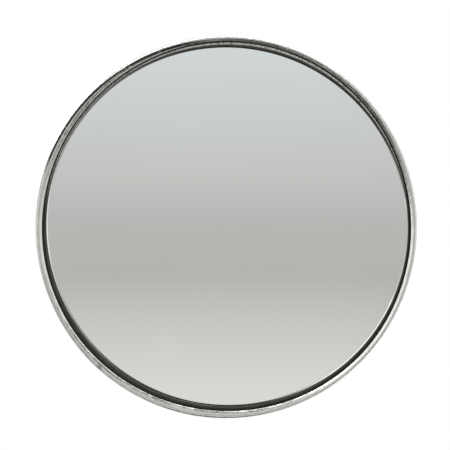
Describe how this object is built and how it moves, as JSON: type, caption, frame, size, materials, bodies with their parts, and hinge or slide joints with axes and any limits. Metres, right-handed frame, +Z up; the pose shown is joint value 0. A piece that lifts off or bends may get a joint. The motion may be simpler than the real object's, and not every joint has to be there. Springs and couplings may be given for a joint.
{
  "type": "traffic convex mirror",
  "caption": "Round domed mirror in a rolled steel hoop with a rubber edge and a pressed back, on a pan-and-tilt bracket that clamps to a round post.",
  "frame": {"origin": "on the post's axis, at the middle of the clamp's height", "axes": "+Z up along the post; the mirror faces -Y; +X is to the right of someone who looks at the face"},
  "size_m": [0.45, 0.2357, 0.45],
  "materials": {
    "mirror_face": "smooth silvered sheet, lightly weathered",
    "edge_rubber": "matt black",
    "hoop_steel": "rolled, faintly mottled",
    "shell_zinc": "galvanised sheet",
    "bracket_zinc": "hot-dip galvanised",
    "fastener_zinc": "zinc plated",
    "bush_nylon": "natural nylon"
  },
  "bodies": {
    "pole_bracket": {"front_clamp": "bracket_zinc", "rear_clamp": "bracket_zinc", "clamp_bolts": "fastener_zinc", "clamp_washers": "fastener_zinc", "clamp_spring_washers": "fastener_zinc", "clamp_nuts": "fastener_zinc", "pan_bolt": "fastener_zinc", "pan_washers": "fastener_zinc", "pan_spring_washer": "fastener_zinc", "pan_nut": "fastener_zinc"},
    "arm": {"swivel_arm": "bracket_zinc", "pan_bushes": "bush_nylon", "tilt_bushes": "bush_nylon"},
    "mirror_head": {"mirror_lens": "mirror_face", "edge_gasket": "edge_rubber", "rim_hoop": "hoop_steel", "back_shell": "shell_zinc", "stiffener_plate": "shell_zinc", "yoke_pad": "edge_rubber", "yoke": "bracket_zinc", "yoke_bolts": "fastener_zinc", "yoke_washers": "fastener_zinc", "yoke_spring_washers": "fastener_zinc", "yoke_nuts": "fastener_zinc", "tilt_bolt": "fastener_zinc", "tilt_washers": "fastener_zinc", "tilt_spring_washer": "fastener_zinc", "tilt_nut": "fastener_zinc"}
  },
  "joints": [
    {"name": "pan", "type": "hinge", "parent": "pole_bracket", "child": "arm", "pos_m": [0, -0.05815, 0], "axis": [0, 0, 1], "range_deg": [-60, 60]},
    {"name": "tilt", "type": "hinge", "parent": "arm", "child": "mirror_head", "pos_m": [0, -0.10815, 0], "axis": [1, 0, 0], "range_deg": [-25, 25]}
  ]
}
